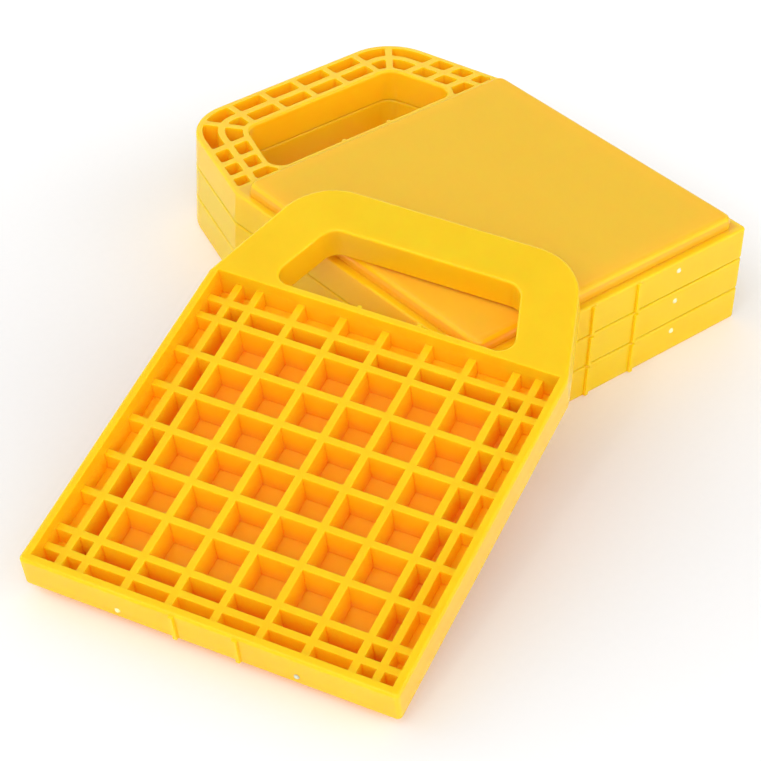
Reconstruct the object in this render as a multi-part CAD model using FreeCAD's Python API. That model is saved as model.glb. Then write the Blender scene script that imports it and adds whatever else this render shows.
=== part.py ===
# Leveling block set: three identical moulded pads nested in a stack and a fourth leaning on it.
# Each pad is one moulding: a square lattice body with a raised deck on one face, a nesting
# recess on the other, and a carrying handle with a hand hole.
# Pad frame: origin mid-width on the recess-side rim, +Y toward the handle, +Z toward the deck.
# Row frame: +Z up, origin on the floor at the middle of the set's footprint.
import FreeCAD, Part
import math
import os

os.makedirs("parts", exist_ok=True)
V = FreeCAD.Vector

# driving dimensions of one pad, mm
WIDTH = 165.1          # across the body
Y_END = -81.5          # outside of the far end wall
Y_BAR = 143.6          # outside of the handle bar
RIM_H = 16.5           # rim height, also the stacking pitch
RIM_T = 3.9            # rim wall thickness
EDGE_R = 1.1           # rounding of the outer edge on the deck side
SKIN_R = 1.6           # rounding of the outer edge on the recess side
END_R = 2.2            # upright corners at the far end
KINK_Y = 80.6          # where the sides start to taper into the handle
KINK_R = 6.0
TAPER = 0.308          # sideways run of the handle sides per mm toward the bar
CORNER_R = 27.0        # outside corners of the handle

# raised deck and nesting recess
DECK_H = 5.95          # deck above the rim
DECK_INSET = 4.1       # deck foot to the outside of the rim
DECK_Y = 78.0          # deck foot on the handle side
DECK_CORNER = 5.0
DECK_ROUND = 3.9       # rounding along the deck edge
DECK_SKIN = 2.8        # plate thickness under the deck
RECESS = 6.15          # recess depth
RECESS_Y = 81.5        # recess wall on the handle side

# body lattice
PITCH_X = 19.8         # wide columns
PITCH_Y = 19.8         # wide rows
NARROW = 10.0          # narrow columns and rows at the edges
ROW_MID = 1.4          # middle line of the rows
RIB_T = 3.2            # rib thickness at the recess
DRAFT = 0.35           # narrowing of a cell toward its floor, each side
EDGE_SKIN = 2.4        # plate under the outermost ring of cells

# hand hole and handle lattice
HOLE_Y0 = 85.1         # body side
HOLE_Y1 = 120.5        # bar side
HOLE_X = 56.6          # half width at the body side
HOLE_TAPER = 0.34      # sideways run of the hole sides per mm toward the bar
HOLE_R0 = 6.5
HOLE_R1 = 8.0
HOLE_EDGE = 1.2        # rounding of the hole edges
SKIN = 2.5             # smooth handle skin on the recess side
WALL = 3.0             # outer wall and hole wall of the handle
MID = 11.8             # outline to the middle rib centre
BAR_PITCH = 19.4       # cross ribs of the bar
ARM_RIBS = (91.1, 102.0, 113.7)
ARM_Y = 83.5           # where the arm cells start
CELL_R = 1.2           # upright corners of the handle cells

# small moulded details
RIDGE_X = 13.8
RIDGE_END = 0.8        # ridge ends to the rim edges
RIDGE_W = 2.6
RIDGE_OUT = 1.2
PIP_X = 39.2
PIP_Z = 11.5
PIP_R = 1.2
PIP_OUT = 0.85

# placing of the pads in the row frame
STACK_X = 99.146
STACK_Y = 21.246
LEAN_X = -176.67        # leaning pad origin from the stack's middle
LEAN_Y = -79.76
LEAN_Z = 40.809
LEAN_HEADING = 23.60   # plan direction of its handle, degrees from +X
LEAN_TILT = 14.97      # rise of its handle, degrees

SLANT = math.sqrt(1.0 + TAPER * TAPER)
HOLE_SLANT = math.sqrt(1.0 + HOLE_TAPER * HOLE_TAPER)
HALF = WIDTH / 2.0


def rounded_face(points, radii):
    """Flat face at z=0 from a polygon with each corner rounded by its own radius."""
    count = len(points)
    starts = []
    ends = []
    arcs = []
    for i in range(count):
        p = V(points[i][0], points[i][1], 0)
        a = V(points[i - 1][0], points[i - 1][1], 0) - p
        b = V(points[(i + 1) % count][0], points[(i + 1) % count][1], 0) - p
        a.normalize()
        b.normalize()
        half = a.getAngle(b) / 2.0
        run = radii[i] / math.tan(half)
        bisector = a + b
        bisector.normalize()
        middle = p + bisector * (radii[i] / math.sin(half) - radii[i])
        starts.append(p + a * run)
        ends.append(p + b * run)
        arcs.append(Part.Arc(starts[i], middle, ends[i]).toShape())
    edges = []
    for i in range(count):
        edges.append(arcs[i])
        edges.append(Part.makeLine(ends[i], starts[(i + 1) % count]))
    return Part.Face(Part.Wire(edges))


def prism(face, z0, z1):
    moved = face.copy()
    moved.translate(V(0, 0, z0))
    return moved.extrude(V(0, 0, z1 - z0))


def polygon(points, z0, z1):
    corners = [V(x, y, 0) for x, y in points]
    corners.append(corners[0])
    return prism(Part.Face(Part.makePolygon(corners)), z0, z1)


def block(x0, x1, y0, y1, z0, z1):
    return Part.makeBox(x1 - x0, y1 - y0, z1 - z0, V(x0, y0, z0))


def mirrored(points):
    """Closes a right-hand half outline with its mirror image."""
    return points + [(-x, y) for x, y in reversed(points)]


def outline(inset):
    """Plan of the whole pad, moved inward by inset."""
    side = HALF - inset
    bar_y = Y_BAR - inset
    kink = KINK_Y - inset * (SLANT - 1.0) / TAPER
    bar_x = HALF - TAPER * (bar_y - KINK_Y) - inset * SLANT
    right = [(side, Y_END + inset), (side, kink), (bar_x, bar_y)]
    radii = [max(END_R - inset, 0.3), KINK_R, CORNER_R - inset]
    return rounded_face(mirrored(right), radii + radii[::-1])


def hole(grow):
    """Plan of the hand hole, moved outward by grow."""
    y0 = HOLE_Y0 - grow
    y1 = HOLE_Y1 + grow
    x0 = HOLE_X + HOLE_TAPER * grow + grow * HOLE_SLANT
    x1 = HOLE_X - HOLE_TAPER * (y1 - HOLE_Y0) + grow * HOLE_SLANT
    radii = [HOLE_R0 + grow, HOLE_R1 + grow]
    return rounded_face(mirrored([(x0, y0), (x1, y1)]), radii + radii[::-1])


def fillet_level(shape, level, radius):
    """Rounds every edge lying flat at one height."""
    edges = []
    for edge in shape.Edges:
        box = edge.BoundBox
        if abs(box.ZMin - level) < 0.001 and abs(box.ZMax - level) < 0.001:
            edges.append(edge)
    return shape.makeFillet(radius, edges)


def shell():
    """Pad with its hand hole and rounded edges, before the hollows are taken out."""
    solid = prism(outline(0.0), 0.0, RIM_H)
    solid = fillet_level(solid, 0.0, SKIN_R)
    solid = fillet_level(solid, RIM_H, EDGE_R)
    opening = prism(hole(0.0), -1.0, RIM_H + 1.0)
    solid = solid.cut(opening)
    edges = []
    for edge in solid.Edges:
        box = edge.BoundBox
        flat = abs(box.ZMax - box.ZMin) < 0.001
        level = abs(box.ZMin) < 0.001 or abs(box.ZMin - RIM_H) < 0.001
        inside = box.YMin > HOLE_Y0 - 0.1 and box.YMax < HOLE_Y1 + 0.1 and abs(box.XMin) < HOLE_X
        if flat and level and inside:
            edges.append(edge)
    return solid.makeFillet(HOLE_EDGE, edges)


def deck():
    """Raised plate that a jack foot or wheel stands on."""
    x1 = HALF - DECK_INSET
    y0 = Y_END + DECK_INSET
    plan = rounded_face([(-x1, y0), (x1, y0), (x1, DECK_Y), (-x1, DECK_Y)], [DECK_CORNER] * 4)
    solid = prism(plan, RIM_H - 1.0, RIM_H + DECK_H)
    return fillet_level(solid, RIM_H + DECK_H, DECK_ROUND)


def lines(pitch, centre, low, high):
    """Rib centres across the body; the outer two are the recess walls."""
    inner = [centre + pitch * k for k in range(-3, 4)]
    inner = [inner[0] - NARROW] + inner + [inner[-1] + NARROW]
    return [low - RIB_T / 2.0] + inner + [high + RIB_T / 2.0]


def lattice_cells():
    low = Y_END + RIM_T
    side = HALF - RIM_T
    columns = lines(PITCH_X, 0.0, -side, side)
    rows = lines(PITCH_Y, ROW_MID, low, RECESS_Y)
    cells = []
    for i in range(len(columns) - 1):
        for j in range(len(rows) - 1):
            rim_ring = i in (0, len(columns) - 2) or j in (0, len(rows) - 2)
            floor = RIM_H - EDGE_SKIN if rim_ring else RIM_H + DECK_H - DECK_SKIN
            x0 = columns[i] + RIB_T / 2.0
            x1 = columns[i + 1] - RIB_T / 2.0
            y0 = rows[j] + RIB_T / 2.0
            y1 = rows[j + 1] - RIB_T / 2.0
            cells.append(drafted(x0, x1, y0, y1, RECESS - 0.5, floor))
    return cells


def drafted(x0, x1, y0, y1, z0, z1):
    """Tapered box: full size at z0, smaller by DRAFT all round at z1."""
    low = [V(x0, y0, z0), V(x1, y0, z0), V(x1, y1, z0), V(x0, y1, z0)]
    a0 = x0 + DRAFT
    a1 = x1 - DRAFT
    b0 = y0 + DRAFT
    b1 = y1 - DRAFT
    top = [V(a0, b0, z1), V(a1, b0, z1), V(a1, b1, z1), V(a0, b1, z1)]
    faces = [Part.Face(Part.makePolygon(low + [low[0]])), Part.Face(Part.makePolygon(top + [top[0]]))]
    for i in range(4):
        k = (i + 1) % 4
        faces.append(Part.Face(Part.makePolygon([low[i], low[k], top[k], top[i], low[i]])))
    return Part.makeSolid(Part.makeShell(faces))


def handle_ribs():
    """Cross ribs of the handle: straight ones on bar and arms, one diagonal at each corner."""
    t = RIB_T / 2.0
    ribs = []
    for k in range(-2, 3):
        x = BAR_PITCH * k
        ribs.append(block(x - t, x + t, HOLE_Y1 - 2.0, Y_BAR, 0.0, RIM_H + 2.0))
    for y in ARM_RIBS:
        ribs.append(block(-HALF, -30.0, y - t, y + t, 0.0, RIM_H + 2.0))
        ribs.append(block(30.0, HALF, y - t, y + t, 0.0, RIM_H + 2.0))
    x_in = HOLE_X - HOLE_TAPER * (HOLE_Y1 - HOLE_Y0)
    x_out = HALF - TAPER * (Y_BAR - KINK_Y)
    run = V(x_out - x_in, Y_BAR - HOLE_Y1, 0)
    length = run.Length
    for side in (1, -1):
        rib = block(-6.0, length, -t, t, 0.0, RIM_H + 2.0)
        angle = math.degrees(math.atan2(run.y, run.x))
        rib.rotate(V(0, 0, 0), V(0, 0, 1), angle if side > 0 else 180.0 - angle)
        rib.translate(V(side * x_in, HOLE_Y1, 0))
        ribs.append(rib)
    return ribs


def handle_cells():
    """Hollows of the handle, open on the deck side."""
    t = RIB_T / 2.0
    above = block(-HALF, HALF, ARM_Y, Y_BAR, SKIN, RIM_H + 1.0)
    outer = prism(outline(WALL), SKIN, RIM_H + 1.0).cut(prism(outline(MID - t), 0.0, RIM_H + 2.0))
    inner = prism(outline(MID + t), SKIN, RIM_H + 1.0).cut(prism(hole(WALL), 0.0, RIM_H + 2.0))
    ribs = handle_ribs()
    cells = []
    for ring in (outer, inner):
        for cell in ring.common(above).cut(ribs).Solids:
            uprights = [edge for edge in cell.Edges if edge.BoundBox.ZLength > RIM_H - SKIN]
            cells.append(cell.makeFillet(CELL_R, uprights))
    return cells


def ridge(x, y, out):
    """Upright ridge on a wall at y, standing proud along out (+1 or -1)."""
    y_in = y - out * 0.5
    y_out = y + out * RIDGE_OUT
    w = RIDGE_W / 2.0
    return polygon([(x - w, y_in), (x + w, y_in), (x + w * 0.6, y_out), (x - w * 0.6, y_out)],
                   RIDGE_END, RIM_H - RIDGE_END)


def details():
    parts = []
    for side in (1, -1):
        parts.append(ridge(side * RIDGE_X, Y_END, -1))
        parts.append(ridge(side * RIDGE_X, HOLE_Y0, 1))
        parts.append(Part.makeSphere(PIP_R, V(side * PIP_X, Y_END + PIP_R - PIP_OUT, PIP_Z)))
    return parts


def pad():
    solid = shell().fuse([deck()] + details())
    side = HALF - RIM_T
    recess = block(-side, side, Y_END + RIM_T, RECESS_Y, -1.0, RECESS)
    solid = solid.cut([recess] + lattice_cells() + handle_cells())
    return solid.removeSplitter()


def stacked(shape, level):
    placed = shape.copy()
    placed.translate(V(STACK_X, STACK_Y, RIM_H * level))
    return placed


def leaning(shape):
    """Turned over, handle raised onto the stack, far end on the floor."""
    placed = shape.copy()
    placed.rotate(V(0, 0, 0), V(0, 1, 0), 180.0)
    placed.rotate(V(0, 0, 0), V(1, 0, 0), LEAN_TILT)
    placed.rotate(V(0, 0, 0), V(0, 0, 1), LEAN_HEADING - 90.0)
    placed.translate(V(STACK_X + LEAN_X, STACK_Y + LEAN_Y, LEAN_Z))
    return placed


base = pad()
pads = {
    "pad_bottom": stacked(base, 0),
    "pad_middle": stacked(base, 1),
    "pad_top": stacked(base, 2),
    "pad_leaning": leaning(base),
}
for name, shape in pads.items():
    shape.exportStep("parts/" + name + ".step")
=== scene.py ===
import math

import bmesh
import bpy
from mathutils import Matrix, Vector


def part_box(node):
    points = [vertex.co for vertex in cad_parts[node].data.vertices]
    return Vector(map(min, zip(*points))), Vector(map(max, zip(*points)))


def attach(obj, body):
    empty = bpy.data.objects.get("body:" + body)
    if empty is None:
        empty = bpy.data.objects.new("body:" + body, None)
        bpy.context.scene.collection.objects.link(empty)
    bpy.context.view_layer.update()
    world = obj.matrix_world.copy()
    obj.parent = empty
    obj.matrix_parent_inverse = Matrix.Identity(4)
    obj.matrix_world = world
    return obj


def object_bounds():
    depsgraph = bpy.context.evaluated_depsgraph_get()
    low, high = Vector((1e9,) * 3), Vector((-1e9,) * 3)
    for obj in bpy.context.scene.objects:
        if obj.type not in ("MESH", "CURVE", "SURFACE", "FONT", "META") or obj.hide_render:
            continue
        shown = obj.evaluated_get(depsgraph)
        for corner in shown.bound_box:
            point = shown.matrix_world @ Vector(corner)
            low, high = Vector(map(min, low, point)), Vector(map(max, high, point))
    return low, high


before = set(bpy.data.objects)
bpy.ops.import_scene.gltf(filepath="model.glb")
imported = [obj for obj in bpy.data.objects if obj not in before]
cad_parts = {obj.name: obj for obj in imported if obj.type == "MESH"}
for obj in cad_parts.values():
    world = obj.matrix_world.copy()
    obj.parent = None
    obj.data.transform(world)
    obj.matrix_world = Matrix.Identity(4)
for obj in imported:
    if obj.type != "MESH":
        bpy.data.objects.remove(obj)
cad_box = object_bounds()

MM = 0.001

# the pads' own frames in the row frame: origin mid-width on the recess-side rim,
# +Y toward the handle, +Z toward the deck
RIM_H = 16.5 * MM
DECK_H = 5.95 * MM
BAR_Y = 143.6 * MM
# the body lattice's space, inside the rim and under the deck
LATTICE_X = 79.5 * MM
LATTICE_Y = (-78.5 * MM, 82.0 * MM)
LATTICE_TOP = 20.6 * MM
# two small round pips on the end wall, one each side of its middle: PIP_PLACE is the -X
# one, and PIP_FOLDED is where both come when -X is folded onto +X
PIP_PLACE = Vector((-39.2, -81.5, 11.5)) * MM
PIP_FOLDED = PIP_PLACE * Vector((-1, 1, 1))
PIP_RADIUS = 1.2 * MM
PIP_OUT = 0.85 * MM
PIP_RINGS = 12
PIP_SEGMENTS = 20
# height on the pip's ball below which it is cut off
PIP_CUT = -0.05 * MM
STACK = ("pad_bottom", "pad_middle", "pad_top")
LEANING = "pad_leaning"
LEAN_ORIGIN = Vector((-176.67, -79.76, 40.809)) * MM
LEAN_HEADING = math.radians(23.60)
LEAN_TILT = math.radians(14.97)


def stack_frame(level):
    """Pad frame of a stacked pad, from its node's box."""
    low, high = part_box("pad_bottom")
    middle_x = (low.x + high.x) / 2
    end_y = high.y - BAR_Y
    return Matrix.Translation((middle_x, end_y, RIM_H * level))


def leaning_frame():
    """Pad frame of the leaning pad: turned over, then tilted and headed."""
    turn = Matrix.Rotation(math.pi, 4, "Y")
    tilt = Matrix.Rotation(LEAN_TILT, 4, "X")
    heading = Matrix.Rotation(LEAN_HEADING - math.pi / 2, 4, "Z")
    place = stack_frame(0).translation + LEAN_ORIGIN
    return Matrix.Translation(place) @ heading @ tilt @ turn


PAD_FRAMES = {name: stack_frame(level) for level, name in enumerate(STACK)}
PAD_FRAMES[LEANING] = leaning_frame()


# ---------------------------------------------------------------- node helpers

# where a Mix node keeps its factor, first and second input and result
MIX_SOCKETS = {"FLOAT": (0, 2, 3, 0), "RGBA": (0, 6, 7, 2)}


class Graph:
    """Short hand for building a node tree."""

    def __init__(self, tree):
        self.tree = tree
        tree.nodes.clear()

    def node(self, kind, inputs=None, **settings):
        made = self.tree.nodes.new(kind)
        for key, value in settings.items():
            setattr(made, key, value)
        for key, value in (inputs or {}).items():
            self.plug(made.inputs[key], value)
        return made

    def plug(self, socket, value):
        if isinstance(value, bpy.types.NodeSocket):
            self.tree.links.new(value, socket)
        elif isinstance(value, bpy.types.Node):
            self.tree.links.new(value.outputs[0], socket)
        else:
            socket.default_value = value

    def math(self, operation, a, b=0.0):
        return self.node("ShaderNodeMath", {0: a, 1: b}, operation=operation)

    def ramp(self, value, low, high, to_low=0.0, to_high=1.0):
        return self.node("ShaderNodeMapRange",
                         {"Value": value, "From Min": low, "From Max": high,
                          "To Min": to_low, "To Max": to_high},
                         interpolation_type="SMOOTHSTEP")

    def mix(self, factor, first, second, data_type="RGBA"):
        made = self.node("ShaderNodeMix", data_type=data_type)
        at_factor, at_first, at_second, at_result = MIX_SOCKETS[data_type]
        self.plug(made.inputs[at_factor], factor)
        self.plug(made.inputs[at_first], first)
        self.plug(made.inputs[at_second], second)
        return made.outputs[at_result]


def noise(graph, vector, scale, detail=2.0, roughness=0.5):
    made = graph.node("ShaderNodeTexNoise", {"Vector": vector, "Scale": scale,
                                             "Detail": detail, "Roughness": roughness})
    return made.outputs["Fac"]


# ---------------------------------------------------------------- materials

PLASTIC = (0.972, 0.595, 0.010, 1)
PLASTIC_DEEP = (0.968, 0.560, 0.008, 1)
PLASTIC_DUSTY = (0.935, 0.495, 0.028, 1)
# painted shade for the deep lattice cells, a deeper orange
PAINTED_CELL_SHADE = (0.955, 0.475, 0.028, 1)
# painted highlight on the pips' middles, a pale near-white
PIP_PAINTED_HIGHLIGHT = (1.0, 0.90, 0.55, 1)
WHITE = (1, 1, 1, 1)

# noise scales, in features to the metre
FLOW_SCALE = 38.0
CLOUD_SCALE = 9.0
GRAIN_SCALE = 2600.0
SKIN_SCALE = 420.0
FIBRE_SCALE = 300.0
# the part of a noise's range that most of it fills
NOISE_RANGE = (0.3, 0.7)
MOTTLE_RANGE = (0.35, 0.65)
FLOW_SHARE = 0.6
CLOUD_SHARE = 0.4

# heights in a pad's frame where the deck's grain starts and is full
DECK_FADE = (RIM_H + DECK_H - 0.9 * MM, RIM_H + DECK_H - 0.2 * MM)
DUST_SHARE = 0.8
# heights where the lattice's painted shade starts and is full
CELL_SHADE_FADE = (12 * MM, 20.5 * MM)
# distances from a pip's middle where its painted highlight stops being full and ends
PIP_HIGHLIGHT_FADE = (1.0 * MM, 1.5 * MM)
DECK_ROUGHNESS = (0.52, 0.66)
SKIN_ROUGHNESS = (0.20, 0.25)
SKIN_RELIEF = 0.12
BUMP_STRENGTH = 0.35
BUMP_HEIGHT = 0.06 * MM

PAPER_DARK = (0.89, 0.89, 0.895, 1)
PAPER_PALE = (0.91, 0.91, 0.915, 1)
# distances from the middle between which the paper's painted glow rises
PAPER_LIGHT_FADE = (0.08, 0.42)
# strength of the paper's painted glow
PAPER_PAINTED_LIGHT = 0.17


def plastic_material(name, pad_frame):
    """Moulded yellow plastic: semi-gloss, with flow mottling, a fine-grained deck, painted shade
    deep in the lattice and painted highlights on the pips.
    """
    material = bpy.data.materials.new(name)
    material.use_nodes = True
    g = Graph(material.node_tree)
    where = g.node("ShaderNodeTexCoord").outputs["Object"]
    local = g.node("ShaderNodeMapping", {"Vector": where}, vector_type="TEXTURE")
    local.inputs["Location"].default_value = pad_frame.to_translation()
    local.inputs["Rotation"].default_value = pad_frame.to_euler("XYZ")
    xyz = g.node("ShaderNodeSeparateXYZ", {0: local})
    deck_top = g.ramp(xyz.outputs["Z"], *DECK_FADE)

    flow = noise(g, local, FLOW_SCALE, 3.0)
    cloud = noise(g, local, CLOUD_SCALE, 2.0)
    mottle = g.math("MULTIPLY", flow, FLOW_SHARE)
    mottle = g.math("ADD", mottle, g.math("MULTIPLY", cloud, CLOUD_SHARE))
    colour = g.mix(g.ramp(mottle, *MOTTLE_RANGE), PLASTIC_DEEP, PLASTIC)
    colour = g.mix(g.math("MULTIPLY", deck_top, DUST_SHARE), colour, PLASTIC_DUSTY)

    # painted shade: deep in the lattice the colour is painted a deeper orange, for the light
    # that arrives there having crossed more plastic
    across = g.math("ABSOLUTE", xyz.outputs["X"])
    under_deck = g.math("LESS_THAN", across, LATTICE_X)
    for axis, side, limit in (("Y", "GREATER_THAN", LATTICE_Y[0]),
                              ("Y", "LESS_THAN", LATTICE_Y[1]),
                              ("Z", "LESS_THAN", LATTICE_TOP)):
        under_deck = g.math("MULTIPLY", under_deck, g.math(side, xyz.outputs[axis], limit))
    cell_shade = g.math("MULTIPLY", under_deck, g.ramp(xyz.outputs["Z"], *CELL_SHADE_FADE))
    colour = g.mix(cell_shade, colour, PAINTED_CELL_SHADE)

    # painted highlight: both pips are painted palest at their middles
    folded = g.node("ShaderNodeCombineXYZ",
                    {"X": across, "Y": xyz.outputs["Y"], "Z": xyz.outputs["Z"]})
    pip = g.node("ShaderNodeVectorMath", {0: folded, 1: PIP_FOLDED}, operation="DISTANCE")
    colour = g.mix(g.ramp(pip.outputs["Value"], *PIP_HIGHLIGHT_FADE), PIP_PAINTED_HIGHLIGHT, colour)

    grain = noise(g, local, GRAIN_SCALE, 2.0, 0.6)
    skin = noise(g, local, SKIN_SCALE, 3.0)
    deck_rough = g.ramp(grain, *NOISE_RANGE, *DECK_ROUGHNESS)
    skin_rough = g.ramp(skin, *NOISE_RANGE, *SKIN_ROUGHNESS)
    roughness = g.mix(deck_top, skin_rough, deck_rough, data_type="FLOAT")

    height = g.math("MULTIPLY", grain, deck_top)
    height = g.math("ADD", height, g.math("MULTIPLY", skin, SKIN_RELIEF))
    bump = g.node("ShaderNodeBump",
                  {"Height": height, "Strength": BUMP_STRENGTH, "Distance": BUMP_HEIGHT})

    shader = g.node("ShaderNodeBsdfPrincipled",
                    {"Base Color": colour, "Roughness": roughness, "Normal": bump,
                     "IOR": 1.49, "Specular IOR Level": 0.27,
                     "Subsurface Weight": 1.0, "Subsurface Scale": 5.0 * MM,
                     "Subsurface Radius": (1.0, 0.7, 0.2)})
    g.node("ShaderNodeOutputMaterial", {"Surface": shader})
    return material


def floor_material():
    """Pale studio paper, with a painted glow that makes it a little brighter away from the
    object.
    """
    material = bpy.data.materials.new("studio_paper")
    material.use_nodes = True
    g = Graph(material.node_tree)
    where = g.node("ShaderNodeTexCoord").outputs["Object"]
    fibre = noise(g, where, FIBRE_SCALE, 3.0)
    colour = g.mix(fibre, PAPER_DARK, PAPER_PALE)
    # painted light: the paper is made to glow brighter away from the object, as paper looks
    # under an evenly lit sweep
    away = g.node("ShaderNodeVectorMath", {0: where}, operation="LENGTH")
    painted_light = g.ramp(away.outputs["Value"], *PAPER_LIGHT_FADE, 0.0, PAPER_PAINTED_LIGHT)
    shader = g.node("ShaderNodeBsdfPrincipled",
                    {"Base Color": colour, "Roughness": 0.8, "Specular IOR Level": 0.1,
                     "Emission Color": WHITE, "Emission Strength": painted_light})
    g.node("ShaderNodeOutputMaterial", {"Surface": shader})
    return material


# ---------------------------------------------------------------- the pads

WELD_GAP = 0.005 * MM
EDGE_ROUNDING = 0.6 * MM
ROUNDED_FROM = math.radians(40)

for name, pad_frame in PAD_FRAMES.items():
    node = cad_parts[name]
    node.data.materials.clear()
    node.data.materials.append(plastic_material("plastic_" + name, pad_frame))
    weld = node.modifiers.new("weld", "WELD")
    weld.merge_threshold = WELD_GAP
    soft = node.modifiers.new("soft_edges", "BEVEL")
    soft.width = EDGE_ROUNDING
    soft.segments = 3
    soft.limit_method = "ANGLE"
    soft.angle_limit = ROUNDED_FROM
    soft.miter_outer = "MITER_ARC"
    even = node.modifiers.new("even_shading", "WEIGHTED_NORMAL")
    even.weight = 80


def pip_dome(name, body, pad_frame, material):
    """A low dome over the -X pip, which the pad's own mesh has too; its foot is closed."""
    made = bmesh.new()
    bmesh.ops.create_uvsphere(made, u_segments=PIP_SEGMENTS, v_segments=PIP_RINGS,
                              radius=PIP_RADIUS)
    foot = [vert for vert in made.verts if vert.co.z < PIP_CUT]
    bmesh.ops.delete(made, geom=foot, context="VERTS")
    rim = [edge for edge in made.edges if edge.is_boundary]
    bmesh.ops.contextual_create(made, geom=rim)
    stand = Matrix.Rotation(math.pi / 2, 4, "X")
    squash = Matrix.Scale(PIP_OUT / PIP_RADIUS, 4, (0, 0, 1))
    made.transform(pad_frame @ Matrix.Translation(PIP_PLACE) @ stand @ squash)
    mesh = bpy.data.meshes.new(name)
    made.to_mesh(mesh)
    made.free()
    mesh.shade_smooth()
    mesh.materials.append(material)
    piece = bpy.data.objects.new(name, mesh)
    bpy.context.scene.collection.objects.link(piece)
    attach(piece, body)


for name, pad_frame in PAD_FRAMES.items():
    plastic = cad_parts[name].data.materials[0]
    pip_dome(name.replace("pad", "pip"), name, pad_frame, plastic)


# ---------------------------------------------------------------- stage, light, camera

def look_matrix(right, up, back, place):
    rows = [(right[i], up[i], back[i], place[i]) for i in range(3)]
    return Matrix(rows + [(0, 0, 0, 1)])


def aim(place, target):
    back = (Vector(place) - Vector(target)).normalized()
    return Matrix.Translation(place) @ back.to_track_quat("Z", "Y").to_matrix().to_4x4()


def soft_box(name, place, target, size, watts):
    data = bpy.data.lights.new(name, "AREA")
    data.shape = "RECTANGLE"
    data.size, data.size_y = size
    data.energy = watts
    light = bpy.data.objects.new(name, data)
    bpy.context.scene.collection.objects.link(light)
    light.matrix_world = aim(place, target)


centre = (cad_box[0] + cad_box[1]) / 2

FLOOR_REACH = 6.0
floor_mesh = bpy.data.meshes.new("floor")
floor_mesh.from_pydata([(-FLOOR_REACH, -FLOOR_REACH, 0), (FLOOR_REACH, -FLOOR_REACH, 0),
                        (FLOOR_REACH, FLOOR_REACH, 0), (-FLOOR_REACH, FLOOR_REACH, 0)],
                       [], [(0, 1, 2, 3)])
floor_mesh.materials.append(floor_material())
floor = bpy.data.objects.new("floor", floor_mesh)
bpy.context.scene.collection.objects.link(floor)

# studio light: broad soft glows in a dim sky, each by heading and height in degrees and
# its strength; the strongest are low, at the camera and to its right and back left
CAMERA_SIDE = -130
SKY_GLOWS = {
    "camera_side_low": (CAMERA_SIDE, 25, 2.1),
    "right_low": (CAMERA_SIDE + 75, 25, 2.2),
    "back_low": (CAMERA_SIDE + 180, 30, 1.2),
    "back_left_low": (CAMERA_SIDE + 245, 25, 1.8),
    "camera_side_high": (CAMERA_SIDE, 55, 1.0),
    "left_high": (CAMERA_SIDE - 60, 50, 1.4),
}
GLOW_TIGHTNESS = 9.0
SKY_BASE = 0.1

world = bpy.data.worlds.new("studio")
bpy.context.scene.world = world
world.use_nodes = True
sky = Graph(world.node_tree)
direction = sky.node("ShaderNodeTexCoord").outputs["Generated"]
glow = SKY_BASE
for azimuth, elevation, strength in SKY_GLOWS.values():
    turn, rise = math.radians(azimuth), math.radians(elevation)
    toward = (math.cos(rise) * math.cos(turn), math.cos(rise) * math.sin(turn), math.sin(rise))
    facing = sky.node("ShaderNodeVectorMath", {0: direction, 1: toward}, operation="DOT_PRODUCT")
    lobe = sky.math("POWER", sky.math("MAXIMUM", facing.outputs["Value"], 0.0), GLOW_TIGHTNESS)
    lobe = sky.math("MULTIPLY", lobe, strength)
    glow = sky.math("ADD", glow, lobe)
background = sky.node("ShaderNodeBackground", {"Color": WHITE, "Strength": glow})
sky.node("ShaderNodeOutputWorld", {"Surface": background})

# a small light up on the left gives the edges their glints
SPARKLE_OFFSET = Vector((-1.45, -0.55, 1.2))
SPARKLE_SIZE = (0.14, 0.14)
SPARKLE_WATTS = 2.2
soft_box("sparkle", centre + SPARKLE_OFFSET, centre, SPARKLE_SIZE, SPARKLE_WATTS)

# the camera's place and axes as fitted to the photograph's outlines
VIEW_FORWARD = Vector((0.53344, 0.58536, -0.61058))
VIEW_RIGHT = Vector((0.75770, -0.65153, 0.03735))
EYE = Vector((-0.57899, -0.65528, 0.68693))
LENS = 120.23
camera_data = bpy.data.cameras.new("camera")
camera_data.sensor_width = 36.0
camera_data.lens = LENS
camera_data.clip_start = 0.05
camera_data.clip_end = 40.0
camera = bpy.data.objects.new("camera", camera_data)
bpy.context.scene.collection.objects.link(camera)
right = VIEW_RIGHT.normalized()
up = right.cross(VIEW_FORWARD).normalized()
camera.matrix_world = look_matrix(right, up, right.cross(up), EYE)
bpy.context.scene.camera = camera
bpy.context.scene.view_settings.view_transform = "Standard"
# light goes many times from wall to wall in the deep cells of a pale yellow plastic
bpy.context.scene.cycles.diffuse_bounces = 12
